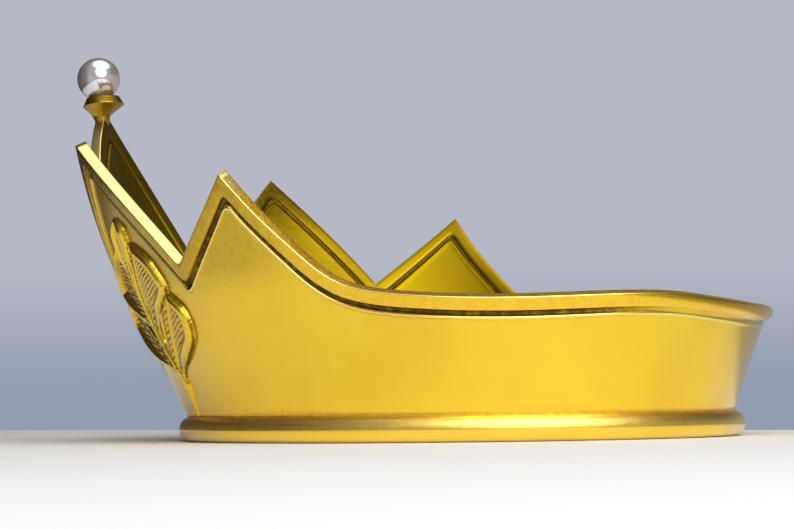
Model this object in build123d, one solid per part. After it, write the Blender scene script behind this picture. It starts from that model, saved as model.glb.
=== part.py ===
from build123d import *
import math
import os

# Gilt head crown: five graduated points at the front, a low back and a pearl on the front point.
# Front is -Y, back is +Y, +Z is up, and the base bead stands on z = 0.
# A place on the wall is given by its turn from the front, in degrees, and its height in mm.

# Base and wall
half_length = 98.0      # centre to the wall's outer face at the front and back of the foot
half_width = 82.0       # centre to the wall's outer face at the side of the foot
wall_thickness = 3.0
spread = 43.0           # how far the wall leans out over flare_rise, all round
flare_rise = 100.0
front_belly = 16.0      # bulge of the front wall between foot and rim
side_belly = -24.0      # the side walls are hollow instead
back_belly = -11.0

# Base bead
foot_height = 8.0       # upright part of the wall, behind the bead
bead_height = 8.5
bead_reach = 3.5        # how far the bead stands out from the wall
bead_steps = 8          # bands that make the bead's half-round face

# Points and valleys: turn and height
front_tip = (0.0, 124.5)
first_valley = (20.2, 55.0)
second_tip = (38.3, 103.0)
second_valley = (58.0, 59.5)
third_tip = (73.0, 86.3)
leg_bow = 0.7           # outward bow of a point's flank, in degrees
front_leg_bow = 1.4

# The rim sweeps down behind the third point, with a low swell near the back corner
rim_path = [(77.0, 74.0), (81.5, 63.2), (86.0, 54.2), (91.0, 49.3), (101.0, 46.6),
            (117.0, 45.5), (143.0, 46.5), (162.0, 44.6), (180.0, 43.5)]

# Border, groove and lip that follow the cut edge
border_width = 4.4
border_proud = 1.2
groove_width = 2.0
groove_depth = 0.6
lip_width = 1.2
lip_proud = 0.6

# Leaf relief under each second point
leaf_foot = bead_height - 1.5
leaf_tip = 85.0
leaf_shift = 0.9        # the rib's waist lies this many degrees behind the point's axis
leaf_waist = 58.0       # height where the rib comes nearest to the axis
leaf_curl = 0.0039      # degrees that the rib curves away, for each squared millimetre from the waist
stem_top = 24.0         # the stem is straight up to here
# Half width of the blade at its heights, with shallow notches between its lobes
leaf_margin = [(22.0, 2.0), (27.0, 8.0), (33.0, 18.5), (39.0, 24.0), (45.0, 25.5), (51.0, 21.0),
               (57.0, 20.5), (62.0, 16.5), (67.0, 10.5), (72.0, 9.0), (77.0, 5.5)]
stem_half = 1.8
stem_ridge = 1.9        # height of the stem's middle
stem_flank = 1.4
stem_side = 0.5
leaf_edge = 2.3         # height of the rolled margin
leaf_dish = 0.6         # height of the blade between margin and rib
leaf_rib = 2.0
leaf_root = 1.0         # how deep the leaf is joined into the wall
rim_share = 0.92        # the margin's crest lies at this share of the half width
dish_share = 0.55
tip_half = 0.4

# Pearl, its cup and its peg
pearl_diameter = 16.4
pearl_lean = 5.0        # degrees forward
pearl_offset = 1.2      # the pearl sits this far forward of the cup's axis
pearl_sink = 0.8        # how deep the pearl sits in the cup's mouth
cup_neck_radius = 3.4
cup_radius = 8.0
cup_mouth_radius = 6.4
cup_setback = 1.3       # the cup's middle lies this far behind the neck's
cup_belly_rise = 4.2
cup_height = 7.2
neck_drop = 0.8         # the neck is narrowest this far below the front tip
neck_length = 3.5
neck_root_radius = 2.0
seat_gap = 0.05
peg_diameter = 1.5
peg_in_cup = 4.0
peg_in_pearl = 7.5
peg_gap = 0.05

# Sections of the wall's loft, and how far the cutting tools reach past what they cut
wall_levels = 5
wall_top = 145.0
tool_margin = 9.0
tool_top = 150.0
tool_clear = 3.0
tool_step = 0.5


def half_axes(height):
    rise = max(0.0, (height - foot_height) / flare_rise)
    hump = rise * (1.0 - rise)
    front = half_length + spread * rise + front_belly * hump
    back = half_length + spread * rise + back_belly * hump
    side = half_width + spread * rise + side_belly * hump
    return front, back, side


def skin_point(turn, height):
    front, back, side = half_axes(height)
    along = math.cos(math.radians(turn))
    reach = front if along > 0 else back
    return Vector(side * math.sin(math.radians(turn)), -reach * along, height)


def wall_frame(turn, height):
    # steps along and up the wall, as vectors for one degree and one millimetre
    step = 0.01
    along = (skin_point(turn + step, height) - skin_point(turn - step, height)) * (0.5 / step)
    up = (skin_point(turn, height + 2 * step) - skin_point(turn, height)) * (0.5 / step)
    return along, up


def wall_point(turn, height, lift=0.0):
    along, up = wall_frame(turn, height)
    return skin_point(turn, height) + along.cross(up).normalized() * lift


def wall_plan(height, lift):
    # the outline of the wall at one height, moved out by lift, as two half ellipses
    front, back, side = half_axes(height)
    offsets = []
    for turn in (0.0, 180.0, 90.0):
        along, up = wall_frame(turn, height)
        offsets.append(lift * up.length / up.Z)
    with BuildSketch(Plane.XY.offset(height)) as plan:
        with BuildLine():
            EllipticalCenterArc((0, 0), side + offsets[2], front + offsets[0], 180, arc_size=180)
            EllipticalCenterArc((0, 0), side + offsets[2], back + offsets[1], 0, arc_size=180)
        make_face()
    return plan.sketch


def wall_solid(lift):
    # the filled body inside the wall's face, moved out by lift
    rise = (wall_top - foot_height) / (wall_levels - 1)
    plans = [wall_plan(foot_height + rise * level, lift) for level in range(wall_levels)]
    return Solid.make_loft([plan.face().outer_wire() for plan in plans])


def edge_normal(start, end, place):
    # unit normal, pointing down the wall, of a step along the cut edge near a place
    along, up = wall_frame(place[0], place[1])
    run = (end[0] - start[0]) * along.length
    fall = (end[1] - start[1]) * up.length
    size = math.hypot(run, fall)
    return fall / size, -run / size


def shifted(place, normal, distance):
    along, up = wall_frame(place[0], place[1])
    return (place[0] + normal[0] * distance / along.length,
            place[1] + normal[1] * distance / up.length)


def mitred(place, before, after, distance):
    first = edge_normal(before, place, place)
    second = edge_normal(place, after, place)
    share = 1.0 + first[0] * second[0] + first[1] * second[1]
    normal = ((first[0] + second[0]) / share, (first[1] + second[1]) / share)
    return shifted(place, normal, distance)


def bowed_leg(start, end, bow, steps=4):
    places = []
    for step in range(steps + 1):
        share = step / steps
        turn = start[0] + (end[0] - start[0]) * share + bow * 4 * share * (1 - share)
        places.append((turn, start[1] + (end[1] - start[1]) * share))
    return places


def cut_edge(inset):
    # spans of the near side's edge from the front tip to the back, moved down the wall by inset
    corners = [front_tip, first_valley, second_tip, second_valley, third_tip]
    mirror = (-first_valley[0], first_valley[1])
    ring = [mirror] + corners + [rim_path[0]]
    moved = [mitred(ring[i], ring[i - 1], ring[i + 1], inset) for i in range(1, len(ring) - 1)]
    bows = [front_leg_bow, 0.0, leg_bow, leg_bow]
    spans = [bowed_leg(moved[i], moved[i + 1], bows[i]) for i in range(len(moved) - 1)]
    rim = [third_tip] + rim_path
    sweep = [moved[-1]]
    for i in range(1, len(rim)):
        after = rim[i + 1] if i + 1 < len(rim) else (2 * 180.0 - rim[i - 1][0], rim[i - 1][1])
        normal = edge_normal(rim[i - 1], after, rim[i])
        sweep.append(shifted(rim[i], normal, inset))
    sweep[-1] = (180.0, sweep[-1][1])
    spans.append(sweep)
    return spans


def whole_edge(inset):
    near = cut_edge(inset)
    far = [[(-turn, height) for turn, height in reversed(span)] for span in reversed(near)]
    return near + far


def curve(points):
    return Edge.make_spline([tuple(point) for point in points])


def top_point(turn, lift):
    front, back, side = half_axes(tool_top)
    along = math.cos(math.radians(turn))
    reach = (front if along > 0 else back) + lift
    return Vector((side + lift) * math.sin(math.radians(turn)), -reach * along, tool_top)


def edge_tool(inset):
    # everything of the wall that lies above the cut edge, moved down by inset
    faces = []
    rims = {-tool_margin: [], tool_margin: []}
    for span in whole_edge(inset):
        low = {}
        for lift in rims:
            low[lift] = curve([wall_point(turn, height, lift) for turn, height in span])
            high = curve([top_point(turn, lift) for turn, height in span])
            rims[lift].append(high)
            faces.append(Face.make_surface_from_curves(low[lift], high))
        faces.append(Face.make_surface_from_curves(low[-tool_margin], low[tool_margin]))
    faces.append(Face(Wire(rims[tool_margin]), [Wire(rims[-tool_margin])]))
    return Solid(Shell(faces))


def band(outer_lift, inner_lift):
    return wall_solid(outer_lift) - wall_solid(inner_lift)


def make_wall():
    groove_end = border_width + groove_width
    lip_end = groove_end + lip_width
    border_tool = edge_tool(border_width)
    groove_tool = edge_tool(groove_end)
    clear = border_proud + tool_clear
    wall = band(border_proud, -wall_thickness) - edge_tool(0.0)
    wall -= band(clear, lip_proud) - edge_tool(border_width + groove_width / 2)
    wall -= band(clear + tool_step, 0.0) - edge_tool(lip_end)
    wall -= (band(clear + 2 * tool_step, -groove_depth) & groove_tool) - border_tool
    inner = -wall_thickness
    wall -= (band(inner + groove_depth, inner - tool_clear) & groove_tool) - border_tool
    return wall


def foot_oval(reach, height):
    with BuildSketch(Plane.XY.offset(height)) as oval:
        Ellipse(half_width + reach, half_length + reach)
    return oval.sketch.face().outer_wire()


def make_foot():
    # the upright foot under the flare, with the half-round bead round it
    ovals = []
    for step in range(bead_steps + 1):
        angle = math.pi * (step / bead_steps - 0.5)
        ovals.append(foot_oval(bead_reach * math.cos(angle), bead_height / 2 * (1 + math.sin(angle))))
    drum = Solid.make_loft(ovals, ruled=True)
    opening = extrude(wall_plan(foot_height, -wall_thickness), amount=-foot_height)
    return drum - opening - wall_solid(-wall_thickness)


def leaf_half_width(height):
    places = [(leaf_foot, stem_half)] + leaf_margin + [(leaf_tip, tip_half)]
    for low, high in zip(places, places[1:]):
        if height <= high[0]:
            return low[1] + (high[1] - low[1]) * (height - low[0]) / (high[0] - low[0])
    return places[-1][1]


def rib_turn(height):
    # the stem is straight and the rib above it curves past the waist
    return second_tip[0] + leaf_shift + leaf_curl * (max(height, stem_top) - leaf_waist) ** 2


def make_leaf(mirror):
    # a lobed leaf in relief, ruled between rails that run from its stem to its tip
    blade_start = leaf_margin[0][0]
    heights = [leaf_foot, (leaf_foot + blade_start) / 2] + [place[0] for place in leaf_margin] + [leaf_tip]
    # across the leaf: share of the half width, lift of the blade and lift of the stem
    profile = [(-1.0, -leaf_root, -leaf_root), (-rim_share, leaf_edge, stem_side),
               (-dish_share, leaf_dish, stem_flank), (0.0, leaf_rib, stem_ridge),
               (dish_share, leaf_dish, stem_flank), (rim_share, leaf_edge, stem_side),
               (1.0, -leaf_root, -leaf_root), (0.0, -leaf_root, -leaf_root)]
    rails = []
    for share, blade_lift, stem_lift in profile:
        rail = []
        for height in heights:
            along, up = wall_frame(rib_turn(height), height)
            turn = rib_turn(height) + share * leaf_half_width(height) / along.length
            ends = height <= blade_start or height == leaf_tip
            point = wall_point(turn, height, stem_lift if ends else blade_lift)
            rail.append(Vector(mirror * point.X, point.Y, point.Z))
        rails.append(rail)
    faces = []
    for i, rail in enumerate(rails):
        other = rails[(i + 1) % len(rails)]
        faces.append(Face.make_surface_from_curves(curve(rail), curve(other)))
    for end in (0, -1):
        corners = [rail[end] for rail in rails]
        for i in range(len(corners) - 2):
            faces.append(Face(Wire.make_polygon([corners[-1], corners[i], corners[i + 1]])))
    return Solid(Shell(faces))


def cup_places():
    # middles of the cup's neck, belly and mouth, and of the pearl over it
    forward = math.sin(math.radians(pearl_lean))
    axis = Vector(0, -forward, math.cos(math.radians(pearl_lean)))
    neck = wall_point(0.0, front_tip[1] - neck_drop, (border_proud - wall_thickness) / 2)
    belly = neck + Vector(0, cup_setback, 0) + axis * cup_belly_rise
    mouth = belly + axis * (cup_height - cup_belly_rise)
    pearl = mouth + axis * (pearl_diameter / 2 - pearl_sink) - Vector(0, pearl_offset, 0)
    return axis, neck, belly, mouth, pearl


def make_cup():
    axis, neck, belly, mouth, pearl = cup_places()
    root = wall_point(0.0, front_tip[1] - neck_drop - neck_length, (border_proud - wall_thickness) / 2)
    upright = Vector(0, 0, 1)
    rings = [(root, upright, neck_root_radius), (neck, upright, cup_neck_radius),
             (belly, axis, cup_radius), (mouth, axis, cup_mouth_radius)]
    circles = [Wire.make_circle(radius, Plane(origin=middle, x_dir=(1, 0, 0), z_dir=facing))
               for middle, facing, radius in rings]
    return Solid.make_loft(circles, ruled=True)


def peg_rod(clearance):
    axis, neck, belly, mouth, pearl = cup_places()
    reach = pearl_diameter / 2 + peg_in_cup
    start = pearl - axis * (reach + clearance)
    length = peg_in_cup + peg_in_pearl + 2 * clearance
    return Solid.make_cylinder(peg_diameter / 2 + clearance, length, Plane(origin=start, z_dir=axis))


def make_body():
    body = make_wall() + make_foot()
    for mirror in (1, -1):
        body = body + make_leaf(mirror)
    body = body + make_cup()
    pearl = cup_places()[-1]
    body -= Pos(pearl.X, pearl.Y, pearl.Z) * Sphere(pearl_diameter / 2 + seat_gap)
    body -= peg_rod(peg_gap)
    return body


def make_pearl():
    pearl = cup_places()[-1]
    return Pos(pearl.X, pearl.Y, pearl.Z) * Sphere(pearl_diameter / 2) - peg_rod(peg_gap)


os.makedirs("parts", exist_ok=True)
export_step(make_body(), "parts/crown_body.step")
export_step(make_pearl(), "parts/pearl.step")
export_step(peg_rod(0.0), "parts/pearl_peg.step")
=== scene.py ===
import math

import bpy
import numpy as np
from mathutils import Matrix, Vector


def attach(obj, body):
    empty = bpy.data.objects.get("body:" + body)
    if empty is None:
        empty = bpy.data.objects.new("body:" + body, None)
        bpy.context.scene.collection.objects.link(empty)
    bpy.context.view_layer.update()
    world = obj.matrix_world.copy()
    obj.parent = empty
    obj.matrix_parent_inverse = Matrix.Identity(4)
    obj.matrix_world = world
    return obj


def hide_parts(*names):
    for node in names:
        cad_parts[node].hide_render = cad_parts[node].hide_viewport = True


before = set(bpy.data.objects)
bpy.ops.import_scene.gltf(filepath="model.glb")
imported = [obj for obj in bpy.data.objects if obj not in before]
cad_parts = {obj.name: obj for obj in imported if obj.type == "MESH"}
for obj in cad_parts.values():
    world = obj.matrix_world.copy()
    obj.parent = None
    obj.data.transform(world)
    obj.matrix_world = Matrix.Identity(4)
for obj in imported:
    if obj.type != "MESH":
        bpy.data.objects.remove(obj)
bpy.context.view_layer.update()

# Gilt crown with a pearl. Front is -Y, back is +Y, the bead stands on z = 0.
# A place on the wall is (turn from the front in degrees, height in mm).

mm = 0.001
backTurn = 180.0
tiny = 1e-12
markNames = ("paintedShade", "grainAndReflection", "inside", "paintedHighlight")

wallForm = {
    "halfLength": 98.0, "halfWidth": 82.0, "thickness": 3.0,
    "spread": 43.0, "flareRise": 100.0, "footHeight": 8.0,
    "frontBelly": 16.0, "sideBelly": -24.0, "backBelly": -11.0,
}

edgeForm = {
    "corners": [(0.0, 124.5), (20.2, 55.0), (38.3, 103.0), (58.0, 59.5), (73.0, 86.3)],
    "bows": [1.4, 0.0, 0.7, 0.7],            # outward bow of each flank, in degrees
    "rim": [(77.0, 74.0), (81.5, 63.2), (86.0, 54.2), (91.0, 49.3), (101.0, 46.6),
            (117.0, 45.5), (143.0, 46.5), (162.0, 44.6), (180.0, 43.5)],
    "legSamples": [46, 36, 36, 26], "sweepSamples": 116, "curveSteps": 12,
    "mmPerDegree": 1.7,                      # along the rim, when its length is shared out
    "roundEvery": 2.2, "roundMost": 3,       # mm of inset for each smoothing pass, and the most passes
}

# Section across the cut edge: inset from the edge and lift off the wall, in mm,
# then how much painted shade it gets and how grainy it is
edgeSection = [
    (8.6, 0.00, 0.0, 0.0), (8.0, 0.02, 0.1, 0.0), (7.8, 0.10, 0.25, 0.0), (7.62, 0.38, 0.0, 0.0),
    (7.4, 0.60, 0.0, 0.0), (7.1, 0.68, 0.0, 0.0), (6.8, 0.58, 0.0, 0.0), (6.6, 0.22, 0.3, 0.0),
    (6.42, -0.35, 1.0, 0.0), (6.0, -0.62, 1.0, 0.0), (5.5, -0.66, 1.0, 0.0), (5.05, -0.55, 1.0, 0.0),
    (4.78, 0.0, 0.7, 0.2), (4.62, 0.62, 0.2, 0.3), (4.4, 1.0, 0.0, 0.35), (4.1, 1.16, 0.0, 0.4),
    (2.8, 1.22, 0.0, 0.4), (1.2, 1.22, 0.0, 0.4), (0.3, 1.20, 0.0, 0.3), (0.1, 1.13, 0.0, 0.0),
    (0.0, 0.95, 0.0, 0.0), (0.0, 0.7, 0.0, 0.95), (0.0, -2.5, 0.0, 0.95), (0.06, -2.85, 0.0, 0.5),
    (0.3, -3.0, 0.0, 0.2), (1.6, -3.02, 0.0, 0.0), (3.0, -3.02, 0.0, 0.0), (4.1, -3.0, 0.0, 0.0),
    (4.4, -2.86, 0.2, 0.0), (4.65, -2.5, 0.6, 0.0), (5.2, -2.35, 0.8, 0.0), (5.8, -2.42, 0.8, 0.0),
    (6.15, -2.75, 0.4, 0.0), (6.4, -3.08, 0.0, 0.0), (6.8, -3.12, 0.0, 0.0), (7.4, -3.03, 0.0, 0.0),
]
# Which insets and lifts of the section are which part
edgeZones = {
    "innerLift": -2.9, "innerGroove": (4.0, -2.0), "cutFaceLift": 0.9, "corner": 0.1,
    "lip": (6.8, 7.4), "border": 5.0, "outerLift": -1.0,
}
# Towards the back the border swells into a roll, and the groove and the lip fade out
backRoll = {"turns": (128.0, 150.0), "width": 4.9, "swell": 1.5, "rise": 0.5, "fade": 0.85}
# The border is grainy along the sweep and smoother on the points, and its painted coppery reflection follows
# the grain
sweepGrain = {"turns": (72.5, 74.5), "onPoints": 0.25}

# Painted shade on and around the front points, most of all at their tips and inside the second ones
frontShade = {
    "border": 0.42, "tip": 0.42, "panel": 0.36, "inner": 0.5, "innerSecond": 0.26,
    "panelHeights": (45.0, 62.0), "tipHeights": (75.0, 98.0), "endTurns": (72.0, 86.0),
    "secondStart": (20.0, 26.0), "secondEnd": (54.0, 62.0),
}
# Painted highlights, a pale colour on the points' cut faces, the corners, the lip and the bead
paintedHighlight = {
    "cutFace": 0.85, "corner": 0.7, "lip": 0.5, "beadTop": 0.3, "beadLow": 0.1,
    "cutFaceEnd": (72.0, 76.0),
}

beadForm = {"height": 8.5, "reach": 3.5, "steps": 22, "grainAndReflection": 0.8, "soleInset": 0.5}
panelForm = {
    "rows": 44, "start": 0.3, "spacing": 1.15, "grainAndReflection": 0.8, "grainRows": 4.0,
    "filletRows": 2.0, "filletLift": 0.25, "filletShade": 0.2,
}
insideForm = {
    "rows": 30, "footLift": 1.06, "footStart": 0.5, "footHeights": (5.0, 1.5, 0.5), "footGrain": 0.2,
}


def smoothStep(value, low, high):
    share = np.clip((value - low) / (high - low), 0, 1)
    return share * share * (3 - 2 * share)


def growing(low, share):
    # from low to 1 as the share goes from 0 to 1
    return low + (1 - low) * share


def fromFront(turn):
    return backTurn - np.abs(turn - backTurn)


def halfAxes(height):
    rise = np.maximum(0.0, (height - wallForm["footHeight"]) / wallForm["flareRise"])
    hump = rise * (1.0 - rise)
    front = wallForm["halfLength"] + wallForm["spread"] * rise + wallForm["frontBelly"] * hump
    back = wallForm["halfLength"] + wallForm["spread"] * rise + wallForm["backBelly"] * hump
    side = wallForm["halfWidth"] + wallForm["spread"] * rise + wallForm["sideBelly"] * hump
    return front, back, side


def skinPoint(turn, height):
    front, back, side = halfAxes(height)
    along = np.cos(np.radians(turn))
    reach = np.where(along > 0, front, back)
    return np.stack([side * np.sin(np.radians(turn)), -reach * along, height + 0.0 * turn], -1)


def wallSteps(turn, height):
    # steps along the wall for one degree and up it for one millimetre
    step = 0.01
    along = (skinPoint(turn + step, height) - skinPoint(turn - step, height)) * (0.5 / step)
    up = (skinPoint(turn, height + 2 * step) - skinPoint(turn, height)) * (0.5 / step)
    return along, up


def wallPoint(turn, height, lift):
    turn, height, lift = np.broadcast_arrays(np.float64(turn), np.float64(height), np.float64(lift))
    along, up = wallSteps(turn, height)
    normal = np.cross(along, up)
    normal /= np.linalg.norm(normal, axis=-1, keepdims=True)
    return skinPoint(turn, height) + normal * lift[..., None]


def footPoint(turn, lift, height):
    # a place on the upright foot, with lift level with the table
    base = wallForm["footHeight"] + 0.0 * turn
    along, _ = wallSteps(turn, base)
    level = np.stack([along[..., 1], -along[..., 0], 0 * along[..., 0]], -1)
    level /= np.linalg.norm(level, axis=-1, keepdims=True)
    point = skinPoint(turn, base) + level * lift
    point[..., 2] = height
    return point


def edgeNormal(start, end, place):
    along, up = wallSteps(np.float64(place[0]), np.float64(place[1]))
    run = (end[0] - start[0]) * np.linalg.norm(along)
    fall = (end[1] - start[1]) * np.linalg.norm(up)
    size = math.hypot(run, fall)
    return fall / size, -run / size


def shifted(place, normal, distance):
    along, up = wallSteps(np.float64(place[0]), np.float64(place[1]))
    return (place[0] + normal[0] * distance / np.linalg.norm(along),
            place[1] + normal[1] * distance / np.linalg.norm(up))


def mitred(place, before, after, distance):
    first = edgeNormal(before, place, place)
    second = edgeNormal(place, after, place)
    share = 1.0 + first[0] * second[0] + first[1] * second[1]
    return shifted(place, ((first[0] + second[0]) / share, (first[1] + second[1]) / share), distance)


def curveSpan(p0, p1, p2, p3, steps):
    # places from p1 towards p2 on a smooth curve through all four
    return [0.5 * (2 * p1 + (p2 - p0) * t + (2 * p0 - 5 * p1 + 4 * p2 - p3) * t * t
                   + (3 * p1 - p0 - 3 * p2 + p3) * t ** 3)
            for t in np.linspace(0, 1, steps, endpoint=False)]


def beyondBack(place):
    return 2 * backTurn - place[0], place[1]


def smoothCurve(places, samples):
    # a curve through the places, read at even shares of its length
    first = tuple(2 * np.subtract(places[0], places[1]) + places[1])
    ring = np.array([first] + list(places) + [beyondBack(places[-2])])
    fine = []
    for i in range(1, len(ring) - 2):
        fine += curveSpan(*ring[i - 1:i + 3], edgeForm["curveSteps"])
    fine = np.array(fine + [ring[-2]])
    scale = np.array([edgeForm["mmPerDegree"], 1.0])
    run = np.concatenate([[0], np.cumsum(np.linalg.norm(np.diff(fine, axis=0) * scale, axis=1))])
    wanted = np.linspace(0, run[-1], samples)
    return np.stack([np.interp(wanted, run, fine[:, k]) for k in (0, 1)], -1)


def edgeLine(inset):
    # the cut edge moved down the wall by inset: one side from the front tip to the back, then the other
    corners = edgeForm["corners"]
    ring = [(-corners[1][0], corners[1][1])] + corners + [edgeForm["rim"][0]]
    moved = [mitred(ring[i], ring[i - 1], ring[i + 1], inset) for i in range(1, len(ring) - 1)]
    line = []
    for i, count in enumerate(edgeForm["legSamples"]):
        share = np.linspace(0, 1, count, endpoint=False)
        turn = moved[i][0] + (moved[i + 1][0] - moved[i][0]) * share
        turn = turn + edgeForm["bows"][i] * 4 * share * (1 - share)
        line.append(np.stack([turn, moved[i][1] + (moved[i + 1][1] - moved[i][1]) * share], -1))
    rim = [corners[-1]] + edgeForm["rim"]
    sweep = [moved[-1]]
    for i in range(1, len(rim)):
        after = rim[i + 1] if i + 1 < len(rim) else beyondBack(rim[i - 1])
        sweep.append(shifted(rim[i], edgeNormal(rim[i - 1], after, rim[i]), inset))
    sweep[-1] = (backTurn, sweep[-1][1])
    line.append(smoothCurve(sweep, edgeForm["sweepSamples"]))
    line = np.concatenate(line)
    far = line[-2:0:-1] * np.array([-1.0, 1.0]) + np.array([2 * backTurn, 0.0])
    whole = np.concatenate([line, far])
    for _ in range(min(edgeForm["roundMost"], int(inset / edgeForm["roundEvery"]))):
        ahead = np.roll(whole, -1, axis=0)
        behind = np.roll(whole, 1, axis=0)
        ahead[-1, 0] += 2 * backTurn
        behind[0, 0] -= 2 * backTurn
        whole = whole * 0.5 + (ahead + behind) * 0.25
    return whole


def meshPiece(name, points, faces, marks):
    mesh = bpy.data.meshes.new(name)
    mesh.from_pydata((points * mm).tolist(), [], faces)
    for mark, values in marks.items():
        layer = mesh.attributes.new(mark, "FLOAT", "POINT")
        layer.data.foreach_set("value", np.asarray(values, dtype=np.float32))
    mesh.polygons.foreach_set("use_smooth", [True] * len(mesh.polygons))
    mesh.update()
    piece = bpy.data.objects.new(name, mesh)
    bpy.context.scene.collection.objects.link(piece)
    return piece


def gridFaces(rows, columns, closeRows, closeColumns):
    # quads between neighbouring points of a grid whose points are numbered row by row
    faces = []
    for i in range(rows if closeRows else rows - 1):
        after = (i + 1) % rows
        for j in range(columns if closeColumns else columns - 1):
            beside = (j + 1) % columns
            faces.append((i * columns + j, after * columns + j, after * columns + beside,
                          i * columns + beside))
    return faces


def endFaces(rows, columns):
    # the first and last rings of a tube, closed
    last = range((rows - 1) * columns, rows * columns)
    return [tuple(range(columns)), tuple(last)[::-1]]


def frontShadeAt(turn, height, place):
    away = fromFront(turn)
    front = 1.0 - smoothStep(away, *frontShade["endTurns"])
    tip = smoothStep(height, *frontShade["tipHeights"])
    if place == "border":
        return front * (frontShade["border"] + frontShade["tip"] * tip)
    if place == "inner":
        second = smoothStep(away, *frontShade["secondStart"]) * (1.0 - smoothStep(away, *frontShade["secondEnd"]))
        return front * frontShade["inner"] * tip + second * frontShade["innerSecond"]
    return front * frontShade["panel"] * smoothStep(height, *frontShade["panelHeights"])


def edgeRing(inset, lift, paintedShade, grainAndReflection):
    # one ring of the section, with its marks
    turn, height = edgeLine(inset).T
    away = fromFront(turn)
    grooveInset, grooveLift = edgeZones["innerGroove"]
    onInside = lift <= edgeZones["innerLift"] or (inset > grooveInset and lift < grooveLift)
    lipLow, lipHigh = edgeZones["lip"]
    # pale is a painted highlight on the cut face, the corners and the lip; dark is painted shade inside and
    # on the front points
    pale = 0.0
    dark = 0.0
    if inset == 0.0 and lift < edgeZones["cutFaceLift"]:
        pale = paintedHighlight["cutFace"] * (1.0 - smoothStep(away, *paintedHighlight["cutFaceEnd"]))
    elif inset <= edgeZones["corner"] and not onInside:
        pale = paintedHighlight["corner"]
    elif lipLow <= inset <= lipHigh and not onInside:
        pale = paintedHighlight["lip"]
    elif onInside:
        dark = frontShadeAt(turn, height, "inner")
    else:
        dark = frontShadeAt(turn, height, "border" if inset < edgeZones["border"] else "panel")
    if lift > edgeZones["outerLift"]:
        roll = backRoll["fade"] * smoothStep(away, *backRoll["turns"])
        rolled = 0.0
        if inset < backRoll["width"]:
            rolled = backRoll["swell"] * math.sin(math.pi * inset / backRoll["width"]) + backRoll["rise"]
        lift = lift + (rolled - lift) * roll
        paintedShade = paintedShade * (1 - roll)
    grainAndReflection = grainAndReflection * growing(sweepGrain["onPoints"], smoothStep(away, *sweepGrain["turns"]))
    return wallPoint(turn, height, lift), np.maximum(paintedShade, dark), grainAndReflection, float(onInside), pale


def makeCrownBody():
    rings = []

    def addRing(points, paintedShade=0.0, grainAndReflection=0.0, inside=0.0, pale=0.0):
        rings.append((points, *(np.zeros(len(points)) + mark for mark in (paintedShade, grainAndReflection, inside, pale))))

    turn, top = edgeLine(edgeSection[0][0]).T
    footInside = -wallForm["thickness"] * insideForm["footLift"]
    # bead, from the sole out and up
    addRing(footPoint(turn, footInside + beadForm["soleInset"], 0.0))
    for i in range(beadForm["steps"] + 1):
        angle = math.pi * (i / beadForm["steps"] - 0.5)
        out = beadForm["reach"] * math.cos(angle)
        height = beadForm["height"] / 2 * (1 + math.sin(angle))
        # the upper half of the bead is grainy, with a painted coppery reflection, and gets a painted
        # highlight; the lower half gets a fainter painted highlight
        if i > beadForm["steps"] / 2:
            addRing(footPoint(turn, out, height), grainAndReflection=beadForm["grainAndReflection"], pale=paintedHighlight["beadTop"])
        else:
            addRing(footPoint(turn, out, height), pale=paintedHighlight["beadLow"])
    # outer panel, up to the lip
    base = beadForm["height"] + panelForm["start"]
    for i in range(panelForm["rows"]):
        height = base + (top - base) * (i / panelForm["rows"]) ** panelForm["spacing"]
        corner = max(0.0, 1.0 - i / panelForm["filletRows"])
        # painted shade in the corner where the panel meets the bead, and on the front points
        dark = np.maximum(panelForm["filletShade"] * corner, frontShadeAt(turn, height, "panel"))
        grainAndReflection = max(0.0, panelForm["grainAndReflection"] - i / panelForm["grainRows"])
        addRing(wallPoint(turn, height, panelForm["filletLift"] * corner), dark, grainAndReflection)
    for station in edgeSection:
        addRing(*edgeRing(*station))
    # inner face, down to the foot, painted a darker shade as the inside, with more painted shade towards the
    # front tips
    turn, top = edgeLine(edgeSection[-1][0]).T
    base = wallForm["footHeight"] + insideForm["footStart"]
    for i in range(1, insideForm["rows"] + 1):
        height = top + (base - top) * (i / insideForm["rows"])
        addRing(wallPoint(turn, height, -wallForm["thickness"]), frontShadeAt(turn, height, "inner"), inside=1.0)
    for height in insideForm["footHeights"]:
        addRing(footPoint(turn, footInside, height), grainAndReflection=insideForm["footGrain"], inside=1.0)
    points, *marks = (np.concatenate(layer) for layer in zip(*rings))
    faces = gridFaces(len(rings), len(turn), True, True)
    return meshPiece("crown_shell", points, faces, dict(zip(markNames, marks)))


print("building the crown's body")
crownShell = makeCrownBody()
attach(crownShell, "root")
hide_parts("crown_body")


cupForm = {
    "lean": 5.0, "wallMiddle": -0.9, "setback": 1.3, "around": 72,
    "neckDrop": 0.8, "neckLength": 5.0, "bellyRise": 4.2, "height": 7.2,
    "rootRadius": 1.6, "neckRadius": 3.3, "bellyRadius": 7.9, "mouthRadius": 6.3,
    # how far along each stretch its rings stand, how it swells, and how much painted shade it gets
    "stem": ((0.35, 0.7, 0.9), 0.8, 0.6),
    "under": ((0.08, 0.2, 0.4, 0.6, 0.8, 0.93), 1.12, 0.55),
    "bevel": ((0.1, 0.3, 0.6, 0.88, 1.0), 0.9, 0.85),
    # painted shade at the root, the neck, the belly and the mouth of the cup
    "rootShade": 0.7, "neckShade": 0.8, "bellyShade": 0.4, "mouthShade": 0.7,
    "rootEnd": 0.2,                          # radius that closes the root
    "mouth": ((0.25, 5.6), (0.7, 3.8), (0.8, 0.4)),    # depth and radius of the rings in the mouth
    "grainAndReflection": 0.1,
}
pearlShape = {"radius": 8.2, "sink": 0.8, "offset": 1.2, "rows": 72, "columns": 96, "poleGap": 0.004}


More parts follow.
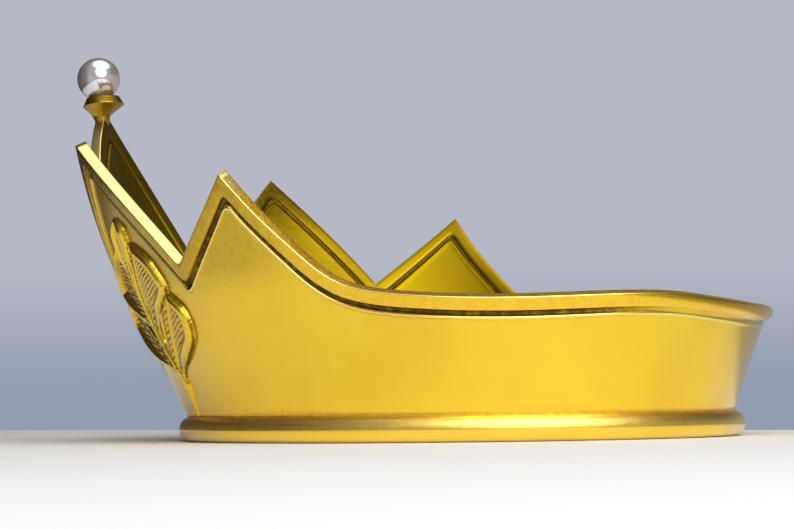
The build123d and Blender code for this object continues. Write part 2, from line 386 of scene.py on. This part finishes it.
def cupPlaces():
    lean = math.radians(cupForm["lean"])
    axis = np.array([0.0, -math.sin(lean), math.cos(lean)])
    neck = wallPoint(0.0, edgeForm["corners"][0][1] - cupForm["neckDrop"], cupForm["wallMiddle"])
    belly = neck + np.array([0.0, cupForm["setback"], 0.0]) + axis * cupForm["bellyRise"]
    mouth = belly + axis * (cupForm["height"] - cupForm["bellyRise"])
    return axis, neck, belly, mouth


def stretch(shape, start, end, startRadius, endRadius):
    # rings between two places of the cup: middle, radius and how much painted shade
    shares, swell, paintedShade = shape
    return [(start + (end - start) * share, startRadius + (endRadius - startRadius) * share ** swell, paintedShade)
            for share in shares]


def makeCup():
    axis, neck, belly, mouth = cupPlaces()
    rootHeight = edgeForm["corners"][0][1] - cupForm["neckDrop"] - cupForm["neckLength"]
    root = wallPoint(0.0, rootHeight, cupForm["wallMiddle"])
    radii = [cupForm[name] for name in ("rootRadius", "neckRadius", "bellyRadius", "mouthRadius")]
    rings = [(root, cupForm["rootEnd"], cupForm["rootShade"]), (root, radii[0], cupForm["rootShade"])]
    rings += stretch(cupForm["stem"], root, neck, radii[0], radii[1])
    rings += [(neck, radii[1], cupForm["neckShade"])]
    rings += stretch(cupForm["under"], neck, belly, radii[1], radii[2])
    rings += [(belly, radii[2], cupForm["bellyShade"])]
    rings += stretch(cupForm["bevel"], belly, mouth, radii[2], radii[3])
    rings += [(mouth - axis * depth, radius, cupForm["mouthShade"]) for depth, radius in cupForm["mouth"]]
    around = np.linspace(0, 2 * math.pi, cupForm["around"], endpoint=False)
    across = np.array([1.0, 0.0, 0.0])
    circle = np.cos(around)[:, None] * across + np.sin(around)[:, None] * np.cross(axis, across)
    points = np.concatenate([middle + circle * radius for middle, radius, paintedShade in rings])
    marks = {"paintedShade": np.repeat([paintedShade for middle, radius, paintedShade in rings], len(around)),
             "grainAndReflection": np.full(len(points), cupForm["grainAndReflection"])}
    faces = gridFaces(len(rings), len(around), False, True) + endFaces(len(rings), len(around))
    return meshPiece("pearl_cup", points, faces, marks)


def makePearl():
    axis, _, _, mouth = cupPlaces()
    middle = mouth + axis * (pearlShape["radius"] - pearlShape["sink"])
    middle = middle - np.array([0.0, pearlShape["offset"], 0.0])
    rows, columns, gap = pearlShape["rows"], pearlShape["columns"], pearlShape["poleGap"]
    around = np.linspace(0, 2 * math.pi, columns, endpoint=False)
    points = []
    for i in range(rows + 1):
        polar = math.pi * (gap + (1 - 2 * gap) * i / rows)
        ring = np.stack([np.cos(around) * math.sin(polar), np.sin(around) * math.sin(polar),
                         0 * around + math.cos(polar)], -1)
        points.append(middle + ring * pearlShape["radius"])
    faces = gridFaces(rows + 1, columns, False, True) + endFaces(rows + 1, columns)
    return meshPiece("pearl_bead", np.concatenate(points), faces, {})


leafForm = {
    # the rib: height and turn
    "rib": [(6.0, 40.3), (13.0, 41.6), (20.0, 42.9), (25.0, 42.3), (34.0, 40.4), (41.0, 39.4),
            (48.0, 38.9), (54.0, 38.9), (60.0, 39.5), (69.0, 41.0), (77.0, 41.9), (86.0, 42.0)],
    # each lobe's outline, across from the rib and up, in mm,
    # from its root round its outer side to its tip and back
    "lobes": [
        [(0.0, 20.5), (3.5, 23.6), (6.8, 25.7), (12.5, 28.2), (18.3, 31.4), (23.4, 34.7), (26.5, 39.1),
         (27.5, 42.4), (27.1, 46.0), (24.4, 49.2), (21.0, 51.8), (15.5, 49.2), (9.5, 44.0), (4.0, 36.5),
         (0.0, 31.5)],
        [(0.0, 36.0), (5.0, 40.0), (12.0, 44.6), (19.0, 48.8), (22.9, 52.0), (22.8, 55.0), (20.8, 58.7),
         (18.6, 61.8), (15.6, 64.2), (11.0, 67.0), (6.4, 68.8), (4.2, 65.6), (2.0, 60.0), (0.0, 54.0)],
        [(0.0, 55.0), (3.0, 59.0), (5.2, 63.5), (6.1, 67.5), (6.0, 70.5), (5.1, 73.5), (3.0, 75.8),
         (0.6, 77.3), (-0.6, 76.0), (-0.6, 60.0)],
    ],
    "lobeRoots": [(0.0, 24.0), (0.0, 40.0), (0.0, 58.0)],
    "lobeTips": [(21.5, 50.5), (7.5, 68.0), (0.8, 76.5)],
    "outlineSteps": 8, "step": 0.28, "halfWidth": 29.5, "foot": 6.5, "top": 78.5,
    "sunk": -0.5, "shownAbove": -0.49,       # what lies under the panel, and what is kept
}
# The rolled rim of a lobe: it grows from the root and is fat on the outer side
lobeRim = {
    "height": 2.3, "width": 3.8, "grownAt": 0.45, "outerFrom": -2.0, "outerTo": 4.0,
    "rootHeight": 0.25, "innerHeight": 0.45, "innerWidth": 0.4, "crest": 0.42, "fall": (0.6, 1.1),
    # dark is a painted shadow along the foot of the rim, over darkWidth mm
    "dark": 0.85, "darkWidth": 0.35,
}
# The blade inside it: veins (share of the way to the outline, width, strength) and engraved strokes
lobeBlade = {
    # dark is the blade's painted shade, grooveDark the painted shade in the groove inside the rim, and
    # veinLight how much less of it the veins get
    "height": 0.6, "rootHeight": 1.3, "drop": 0.5, "dark": 0.12, "veinHeight": 0.5, "veinLight": 0.1,
    "veins": [(0.0, 0.10, 1.0), (0.42, 0.09, 0.8)], "veinMargin": 2.0, "veinGap": 0.01,
    "grooveWidth": 0.45, "grooveDark": 0.5,
}
hatchForm = {
    # dark is the painted shade in the engraved strokes
    "depth": 0.26, "pitch": 1.35, "slope": 22.0, "clear": (0.1, 0.2), "dark": 0.75, "even": 0.65,
    "waves": ((0.9, 1.7), (-1.3, 0.6)),
}
spineForm = {
    "ribHeight": 1.7, "ribWidth": 1.5, "ribFoot": 22.0, "ribTop": 74.0, "taperFrom": 30.0,
    # dark is the little painted shade on the rib and the stem
    "taperWidth": 0.55, "taperHeight": 0.35, "dark": 0.05,
    "stemHeight": 1.7, "stemWidth": 2.2, "stemFoot": 9.0, "stemFull": 21.0, "stemTop": 26.0,
    "stemFootWidth": 0.45, "stemFootHeight": 0.35,
}


def closedCurve(places):
    ring = np.array(places)
    curve = []
    for i in range(len(ring)):
        near = (ring[(i + k) % len(ring)] for k in (-1, 0, 1, 2))
        curve += curveSpan(*near, leafForm["outlineSteps"])
    return np.array(curve)


def outlineDistance(across, up, outline):
    # distance from the outline, positive inside
    nearest = np.full(across.shape, np.inf)
    inside = np.zeros(across.shape, dtype=bool)
    for i in range(len(outline)):
        x0, y0 = outline[i]
        x1, y1 = outline[(i + 1) % len(outline)]
        dx, dy = x1 - x0, y1 - y0
        share = np.clip(((across - x0) * dx + (up - y0) * dy) / (dx * dx + dy * dy + tiny), 0, 1)
        nearest = np.minimum(nearest, np.hypot(across - x0 - share * dx, up - y0 - share * dy))
        inside ^= ((y0 > up) != (y1 > up)) & (across < dx * (up - y0) / (dy + tiny) + x0)
    return np.where(inside, nearest, -nearest)


def hatchStrokes(side, up):
    # uneven slanting strokes, from -1 to 1
    slope = math.radians(hatchForm["slope"])
    phase = (up * math.cos(slope) - side * math.sin(slope)) * 2 * math.pi / hatchForm["pitch"]
    unevenness = 1.0
    for alongSide, alongUp in hatchForm["waves"]:
        unevenness = unevenness * np.sin(side * alongSide + up * alongUp)
    return np.sin(phase) * (hatchForm["even"] + (1 - hatchForm["even"]) * unevenness)


def lobeRelief(side, up, strokes, outline, root, tip):
    distance = outlineDistance(side, up, closedCurve(outline))
    axis = np.array(tip) - np.array(root)
    length = np.linalg.norm(axis)
    axis /= length
    run = (side - root[0]) * axis[0] + (up - root[1]) * axis[1]
    off = (up - root[1]) * axis[0] - (side - root[0]) * axis[1]
    grown = smoothStep(run, 0.0, length * lobeRim["grownAt"])
    outer = smoothStep(-off, lobeRim["outerFrom"], lobeRim["outerTo"])
    rim = lobeRim["height"] * growing(lobeRim["rootHeight"], grown) * growing(lobeRim["innerHeight"], outer)
    width = lobeRim["width"] * growing(lobeRim["innerWidth"], grown * outer)
    rise = np.clip(distance / (lobeRim["crest"] * width), 0, 1)
    rise = np.sqrt(np.clip(1 - (1 - rise) ** 2, 0, 1))
    fallStart, fallEnd = lobeRim["fall"]
    fall = smoothStep(distance, fallStart * width, fallEnd * width)
    # veins run from the root to the tip, with engraved strokes between them
    share = np.abs(off) / (np.abs(off) + np.maximum(distance, 0) + lobeBlade["veinGap"])
    vein = sum(strength * np.exp(-((share - middle) / spread) ** 2)
               for middle, spread, strength in lobeBlade["veins"])
    vein = vein * lobeBlade["veinHeight"] * smoothStep(distance, 0.0, lobeBlade["veinMargin"])
    hatch = hatchForm["depth"] * strokes * smoothStep(share, *hatchForm["clear"]) * fall
    blade = lobeBlade["height"] * (lobeBlade["rootHeight"] - lobeBlade["drop"] * grown) + vein + hatch
    relief = np.where(distance > 0, rise * (rim * (1 - fall) + blade * fall), leafForm["sunk"])
    # painted shade: some over the blade, more in the groove inside the rim and in the strokes, less on the
    # veins, and a painted shadow along the outline
    groove = np.exp(-((distance - fallEnd * width) / lobeBlade["grooveWidth"]) ** 2)
    dark = lobeBlade["dark"] + lobeBlade["grooveDark"] * groove - lobeBlade["veinLight"] * vein
    dark = dark + np.clip(-hatch / hatchForm["depth"], 0, 1) * hatchForm["dark"]
    dark = np.where(distance < lobeRim["darkWidth"], lobeRim["dark"], dark * fall)
    return relief, np.clip(dark, 0, 1)


def spineRelief(side, up):
    # the rib with the stem under it
    taper = smoothStep(up, spineForm["taperFrom"], spineForm["ribTop"])
    width = spineForm["ribWidth"] * (1.0 - spineForm["taperWidth"] * taper)
    height = spineForm["ribHeight"] * (1.0 - spineForm["taperHeight"] * taper)
    rib = height * np.sqrt(np.clip(1 - (side / width) ** 2, 0, 1))
    onRib = (side < width) & (up > spineForm["ribFoot"]) & (up < spineForm["ribTop"])
    grown = smoothStep(up, spineForm["stemFoot"], spineForm["stemFull"])
    width = spineForm["stemWidth"] * growing(spineForm["stemFootWidth"], grown)
    height = spineForm["stemHeight"] * growing(spineForm["stemFootHeight"], grown)
    stem = height * (1 - (side / width) ** 2)
    onStem = (side < width) & (up > spineForm["stemFoot"]) & (up < spineForm["stemTop"])
    return np.maximum(np.where(onRib, rib, leafForm["sunk"]), np.where(onStem, stem, leafForm["sunk"]))


def leafRelief(across, up):
    # height of the leaf above the panel, and how much painted shade each place gets
    side = np.abs(across)
    relief = np.full(across.shape, leafForm["sunk"])
    paintedShade = np.zeros(across.shape)
    strokes = hatchStrokes(side, up)
    for outline, root, tip in zip(leafForm["lobes"], leafForm["lobeRoots"], leafForm["lobeTips"]):
        lobe, dark = lobeRelief(side, up, strokes, outline, root, tip)
        paintedShade = np.where(lobe > relief, dark, paintedShade)
        relief = np.maximum(relief, lobe)
    spine = spineRelief(side, up)
    paintedShade = np.where(spine > relief, spineForm["dark"], paintedShade)
    return np.maximum(relief, spine), paintedShade


def makeLeaf(name, mirror):
    across = np.arange(-leafForm["halfWidth"], leafForm["halfWidth"], leafForm["step"])
    up = np.arange(leafForm["foot"], leafForm["top"], leafForm["step"])
    upGrid, acrossGrid = np.meshgrid(up, across, indexing="ij")
    relief, paintedShade = leafRelief(acrossGrid, upGrid)
    ribHeights, ribTurns = zip(*leafForm["rib"])
    ribTurn = np.interp(upGrid, ribHeights, ribTurns)
    along, _ = wallSteps(ribTurn, upGrid)
    turn = ribTurn + acrossGrid / np.linalg.norm(along, axis=-1)
    points = wallPoint(turn, upGrid, relief).reshape(-1, 3)
    points[:, 0] *= mirror
    faces = np.array(gridFaces(len(up), len(across), False, False))
    faces = faces[(relief.reshape(-1)[faces] > leafForm["shownAbove"]).any(axis=1)]
    if mirror < 0:
        faces = faces[:, ::-1]
    used, numbers = np.unique(faces, return_inverse=True)
    faces = numbers.reshape(faces.shape).tolist()
    marks = {"paintedShade": paintedShade.reshape(-1)[used], "grainAndReflection": np.zeros(len(used))}
    return meshPiece(name, points[used], faces, marks)


print("building the cup, the pearl and the leaves")
pearlCup = makeCup()
pearlBead = makePearl()
leafNear = makeLeaf("leaf_left", 1)
leafFar = makeLeaf("leaf_right", -1)
for piece in (pearlCup, leafNear, leafFar):
    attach(piece, "root")
    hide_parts("crown_body")
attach(pearlBead, "root")
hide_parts("pearl")


def addNode(tree, kind, **settings):
    node = tree.nodes.new(kind)
    for key, value in settings.items():
        setattr(node, key, value)
    return node


def addMath(tree, operation, first, second, third=0.0):
    # a maths node whose inputs are sockets or plain numbers
    node = addNode(tree, "ShaderNodeMath", operation=operation)
    for socket, value in zip(node.inputs, (first, second, third)):
        if isinstance(value, (int, float)):
            socket.default_value = value
        else:
            tree.links.new(value, socket)
    return node.outputs[0]


def addNoise(tree, place, scale, detail):
    # noise over a place, whose scale may differ along the three axes
    if not isinstance(scale, float):
        stretched = addNode(tree, "ShaderNodeMapping")
        stretched.inputs["Scale"].default_value = scale
        tree.links.new(place, stretched.inputs["Vector"])
        place, scale = stretched.outputs[0], 1.0
    noise = addNode(tree, "ShaderNodeTexNoise")
    noise.inputs["Scale"].default_value = scale
    noise.inputs["Detail"].default_value = detail
    tree.links.new(place, noise.inputs["Vector"])
    return noise.outputs["Fac"]


def addRange(tree, value, low, high):
    # how far a value has come from low to high, held between 0 and 1
    node = addNode(tree, "ShaderNodeMapRange", interpolation_type="SMOOTHSTEP")
    node.inputs["From Min"].default_value = low
    node.inputs["From Max"].default_value = high
    tree.links.new(value, node.inputs["Value"])
    return node.outputs["Result"]


def addMix(tree, share, first, second):
    node = addNode(tree, "ShaderNodeMix", data_type="RGBA")
    tree.links.new(share, node.inputs["Factor"])
    for socket, value in ((node.inputs["A"], first), (node.inputs["B"], second)):
        if isinstance(value, tuple):
            socket.default_value = (*value, 1.0)
        else:
            tree.links.new(value, socket)
    return node.outputs["Result"]


def newMaterial(name):
    material = bpy.data.materials.new(name)
    material.use_nodes = True
    return material, material.node_tree, material.node_tree.nodes["Principled BSDF"]


giltForm = {
    # light, deep and fleck are the paint's own colours; the coppery reflection, the inside's shade, the
    # brown shade and the pale highlight are painted light
    "light": (1.0, 0.685, 0.014), "deep": (0.80, 0.46, 0.010), "copperyReflection": (0.92, 0.37, 0.012),
    "insideShade": (0.31, 0.21, 0.0035), "shadeBrown": (0.035, 0.014, 0.004), "paintedHighlight": (1.0, 0.92, 0.42),
    "fleck": (1.0, 0.82, 0.32),
    # scale and detail of each noise
    "lines": ((22.0, 22.0, 1500.0), 3.0), "patches": (26.0, 4.0), "fine": (2300.0, 1.0),
    "scuffs": (420.0, 3.0),
    "patchRange": (0.42, 0.68), "patchMost": 0.32, "copperRange": (0.25, 0.75), "fleckRange": (0.58, 0.70),
    # how much of the brown painted shade the shade mark lays on, varied by the scuff noise, and its most
    "brownLeast": 0.45, "brownScuff": 0.9, "brownMost": 0.94,
    "roughness": 0.20, "lineRough": 0.10, "paintedShadeRough": 0.14, "grainRough": 0.14, "insideRough": 0.16,
    "lineDepth": 0.010, "scuffDepth": 0.012, "grainDepth": 0.06, "fleckDepth": 0.03,
    "grainCoat": -0.7, "paintedShadeCoat": -0.8, "coatRoughness": 0.18,
}


def makeGiltFinish():
    # the shared paint: its colour, roughness, lacquer and normal follow the marks on a piece; its colour
    # also holds painted shade, a painted coppery reflection and painted highlights
    group = bpy.data.node_groups.new("gilt_finish", "ShaderNodeTree")
    for name in markNames:
        group.interface.new_socket(name=name.capitalize(), in_out="INPUT", socket_type="NodeSocketFloat")
    for name, kind in (("Color", "Color"), ("Roughness", "Float"), ("Coat", "Float"), ("Normal", "Vector")):
        group.interface.new_socket(name=name, in_out="OUTPUT", socket_type="NodeSocket" + kind)
    entry = addNode(group, "NodeGroupInput")
    paintedShade, grainAndReflection, inside, pale = (entry.outputs[name.capitalize()] for name in markNames)
    place = addNode(group, "ShaderNodeTexCoord").outputs["Object"]
    lines, patch, fine, scuff = (addNoise(group, place, *giltForm[name])
                                 for name in ("lines", "patches", "fine", "scuffs"))

    share = addRange(group, patch, *giltForm["patchRange"])
    share = addMath(group, "MULTIPLY", share, giltForm["patchMost"])
    color = addMix(group, share, giltForm["light"], giltForm["deep"])
    # painted shade inside the crown, a darker olive
    color = addMix(group, inside, color, giltForm["insideShade"])
    # a painted coppery reflection on the grainy faces, in random patches
    share = addMath(group, "MULTIPLY", grainAndReflection, addRange(group, scuff, *giltForm["copperRange"]))
    color = addMix(group, share, color, giltForm["copperyReflection"])
    # painted shade in the grooves, hollows and recesses and on the front points, varied by the scuff noise
    share = addMath(group, "MULTIPLY_ADD", scuff, giltForm["brownScuff"], giltForm["brownLeast"])
    share = addMath(group, "MULTIPLY", paintedShade, share)
    share = addMath(group, "MINIMUM", share, giltForm["brownMost"])
    color = addMix(group, share, color, giltForm["shadeBrown"])
    # painted highlights, pale
    color = addMix(group, pale, color, giltForm["paintedHighlight"])
    flecks = addMath(group, "MULTIPLY", addRange(group, fine, *giltForm["fleckRange"]), grainAndReflection)
    color = addMix(group, flecks, color, giltForm["fleck"])

    roughness = addMath(group, "MULTIPLY_ADD", lines, giltForm["lineRough"], giltForm["roughness"])
    roughness = addMath(group, "MULTIPLY_ADD", paintedShade, giltForm["paintedShadeRough"], roughness)
    roughness = addMath(group, "MULTIPLY_ADD", grainAndReflection, giltForm["grainRough"], roughness)
    roughness = addMath(group, "MULTIPLY_ADD", inside, giltForm["insideRough"], roughness)

    height = addMath(group, "MULTIPLY", lines, giltForm["lineDepth"])
    height = addMath(group, "MULTIPLY_ADD", scuff, giltForm["scuffDepth"], height)
    grainHeight = addMath(group, "MULTIPLY", grainAndReflection, giltForm["grainDepth"])
    height = addMath(group, "MULTIPLY_ADD", fine, grainHeight, height)
    height = addMath(group, "MULTIPLY_ADD", flecks, giltForm["fleckDepth"], height)
    bump = addNode(group, "ShaderNodeBump")
    bump.inputs["Strength"].default_value = 1.0
    bump.inputs["Distance"].default_value = mm
    group.links.new(height, bump.inputs["Height"])

    # the lacquer over the paint is thin on grainy places and where the painted shade lies, and missing
    # inside
    coat = addMath(group, "MULTIPLY_ADD", grainAndReflection, giltForm["grainCoat"], 1.0)
    coat = addMath(group, "MULTIPLY_ADD", paintedShade, giltForm["paintedShadeCoat"], coat)
    coat = addMath(group, "SUBTRACT", coat, inside)
    coat = addMath(group, "MAXIMUM", coat, 0.0)

    leave = addNode(group, "NodeGroupOutput")
    group.links.new(color, leave.inputs["Color"])
    group.links.new(roughness, leave.inputs["Roughness"])
    group.links.new(coat, leave.inputs["Coat"])
    group.links.new(bump.outputs["Normal"], leave.inputs["Normal"])
    return group


def makeGilt(group):
    material, tree, shader = newMaterial("gilt_paint")
    finish = addNode(tree, "ShaderNodeGroup", node_tree=group)
    for name in markNames:
        layer = addNode(tree, "ShaderNodeAttribute", attribute_name=name)
        tree.links.new(layer.outputs["Fac"], finish.inputs[name.capitalize()])
    tree.links.new(finish.outputs["Color"], shader.inputs["Base Color"])
    tree.links.new(finish.outputs["Roughness"], shader.inputs["Roughness"])
    tree.links.new(finish.outputs["Coat"], shader.inputs["Coat Weight"])
    tree.links.new(finish.outputs["Normal"], shader.inputs["Normal"])
    shader.inputs["Metallic"].default_value = 1.0
    shader.inputs["Coat Roughness"].default_value = giltForm["coatRoughness"]
    return material


pearlForm = {
    "base": (0.88, 0.90, 0.93), "blush": (0.88, 0.66, 0.62), "patches": (150.0, 2.0),
    "blushRange": (0.45, 0.7), "metallic": 0.78, "roughness": 0.15, "coat": 0.8, "coatRoughness": 0.04,
}


def makePearlLustre():
    material, tree, shader = newMaterial("pearl_lustre")
    place = addNode(tree, "ShaderNodeTexCoord").outputs["Object"]
    blush = addRange(tree, addNoise(tree, place, *pearlForm["patches"]), *pearlForm["blushRange"])
    color = addMix(tree, blush, pearlForm["base"], pearlForm["blush"])
    tree.links.new(color, shader.inputs["Base Color"])
    shader.inputs["Metallic"].default_value = pearlForm["metallic"]
    shader.inputs["Roughness"].default_value = pearlForm["roughness"]
    shader.inputs["Coat Weight"].default_value = pearlForm["coat"]
    shader.inputs["Coat Roughness"].default_value = pearlForm["coatRoughness"]
    return material


pegForm = {
    "base": (0.78, 0.60, 0.28), "roughness": 0.3, "lineRough": 0.15, "lines": ((900.0, 900.0, 40.0), 2.0),
}


def makePegBrass():
    material, tree, shader = newMaterial("peg_brass")
    place = addNode(tree, "ShaderNodeTexCoord").outputs["Object"]
    lines = addNoise(tree, place, *pegForm["lines"])
    roughness = addMath(tree, "MULTIPLY_ADD", lines, pegForm["lineRough"], pegForm["roughness"])
    tree.links.new(roughness, shader.inputs["Roughness"])
    shader.inputs["Base Color"].default_value = (*pegForm["base"], 1.0)
    shader.inputs["Metallic"].default_value = 1.0
    return material


print("painting")
gilt = makeGilt(makeGiltFinish())
for piece in (crownShell, pearlCup, leafNear, leafFar):
    piece.data.materials.append(gilt)
pearlBead.data.materials.append(makePearlLustre())
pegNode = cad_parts["pearl_peg"]
pegNode.data.materials.clear()
pegNode.data.materials.append(makePegBrass())


# the table's corners; its far edge lies level in the picture
tableForm = {
    "corners": [(-0.488, -0.754), (0.670, 1.930), (2.60, 1.10), (1.876, 0.771)],
    "color": (0.89, 0.895, 0.91), "roughness": 0.6, "specular": 0.25,
}


def makeTable():
    mesh = bpy.data.meshes.new("table")
    mesh.from_pydata([(x, y, 0.0) for x, y in tableForm["corners"]], [], [(3, 2, 1, 0)])
    table = bpy.data.objects.new("table", mesh)
    bpy.context.scene.collection.objects.link(table)
    material, _, shader = newMaterial("white_table")
    shader.inputs["Base Color"].default_value = (*tableForm["color"], 1.0)
    shader.inputs["Roughness"].default_value = tableForm["roughness"]
    shader.inputs["Specular IOR Level"].default_value = tableForm["specular"]
    mesh.materials.append(material)


cameraForm = {
    "place": (0.70415, 0.26415, 0.013087), "heading": 112.139, "pitch": 3.718, "roll": -0.779,
    "focalPixels": 2112.746, "imageWidth": 794.0, "sensor": 36.0, "nearest": 0.01,
}


def makeCamera():
    heading, pitch, roll = (math.radians(cameraForm[name]) for name in ("heading", "pitch", "roll"))
    ahead = Vector((-math.sin(heading) * math.cos(pitch), math.cos(heading) * math.cos(pitch),
                    math.sin(pitch)))
    right = Vector((math.cos(heading), math.sin(heading), 0.0))
    up = right.cross(ahead)
    tiltedRight = right * math.cos(roll) + up * math.sin(roll)
    tiltedUp = up * math.cos(roll) - right * math.sin(roll)
    data = bpy.data.cameras.new("camera")
    data.sensor_fit = "HORIZONTAL"
    data.sensor_width = cameraForm["sensor"]
    data.lens = cameraForm["focalPixels"] / cameraForm["imageWidth"] * cameraForm["sensor"]
    data.clip_start = cameraForm["nearest"]
    camera = bpy.data.objects.new("camera", data)
    camera.matrix_world = Matrix.Translation(cameraForm["place"]) @ Matrix(
        (tiltedRight, tiltedUp, -ahead)).transposed().to_4x4()
    bpy.context.scene.collection.objects.link(camera)
    bpy.context.scene.camera = camera


# two round softboxes, one behind the camera and one overhead
lampForm = {
    "key": {"place": (0.74, 0.58, 0.74), "aim": (0.0, -0.05, 0.08), "size": 1.15, "power": 12.6,
            "color": (1.0, 0.99, 0.98)},
    "top": {"place": (0.03, 0.10, 1.15), "aim": (0.0, -0.05, 0.05), "size": 1.35, "power": 4.3,
            "color": (1.0, 0.99, 0.96)},
}


def makeLamps():
    for name, form in lampForm.items():
        data = bpy.data.lights.new(name, "AREA")
        data.shape = "DISK"
        data.size = form["size"]
        data.energy = form["power"]
        data.color = form["color"]
        lamp = bpy.data.objects.new(name, data)
        lamp.location = form["place"]
        ahead = Vector(form["aim"]) - Vector(form["place"])
        lamp.rotation_euler = ahead.to_track_quat("-Z", "Y").to_euler()
        bpy.context.scene.collection.objects.link(lamp)


# The backdrop that the camera sees, low and high, then what the crown sees round it and overhead.
# The ranges are of a view direction's X, Y or Z.
roomForm = {
    "backLow": (0.292, 0.337, 0.44), "backHigh": (0.468, 0.485, 0.56), "backRange": (0.0, 0.075),
    "around": (0.31, 0.32, 0.37), "overRange": (0.08, 0.42),
    "nearOver": (0.28, 0.265, 0.245), "farOver": (0.09, 0.078, 0.066), "nearRange": (-0.35, 0.45),
    "dark": (0.06, 0.042, 0.032), "darkRange": (-0.3, -0.75),
}


def makeRoom():
    world = bpy.data.worlds.new("studio")
    bpy.context.scene.world = world
    world.use_nodes = True
    tree = world.node_tree
    split = addNode(tree, "ShaderNodeSeparateXYZ")
    tree.links.new(addNode(tree, "ShaderNodeTexCoord").outputs["Generated"], split.inputs[0])
    high = addRange(tree, split.outputs["Z"], *roomForm["backRange"])
    behind = addMix(tree, high, roomForm["backLow"], roomForm["backHigh"])
    # the half of the room behind the camera is lighter overhead, and the front's side is dark
    near = addRange(tree, split.outputs["X"], *roomForm["nearRange"])
    overhead = addMix(tree, near, roomForm["farOver"], roomForm["nearOver"])
    high = addRange(tree, split.outputs["Z"], *roomForm["overRange"])
    around = addMix(tree, high, roomForm["around"], overhead)
    dark = addRange(tree, split.outputs["Y"], *roomForm["darkRange"])
    around = addMix(tree, dark, around, roomForm["dark"])
    seen = addNode(tree, "ShaderNodeLightPath").outputs["Is Camera Ray"]
    tree.links.new(addMix(tree, seen, around, behind), tree.nodes["Background"].inputs["Color"])


print("setting up the table and the camera")
makeTable()
makeCamera()
print("lighting")
makeLamps()
makeRoom()

bpy.context.scene.view_settings.view_transform = "Standard"
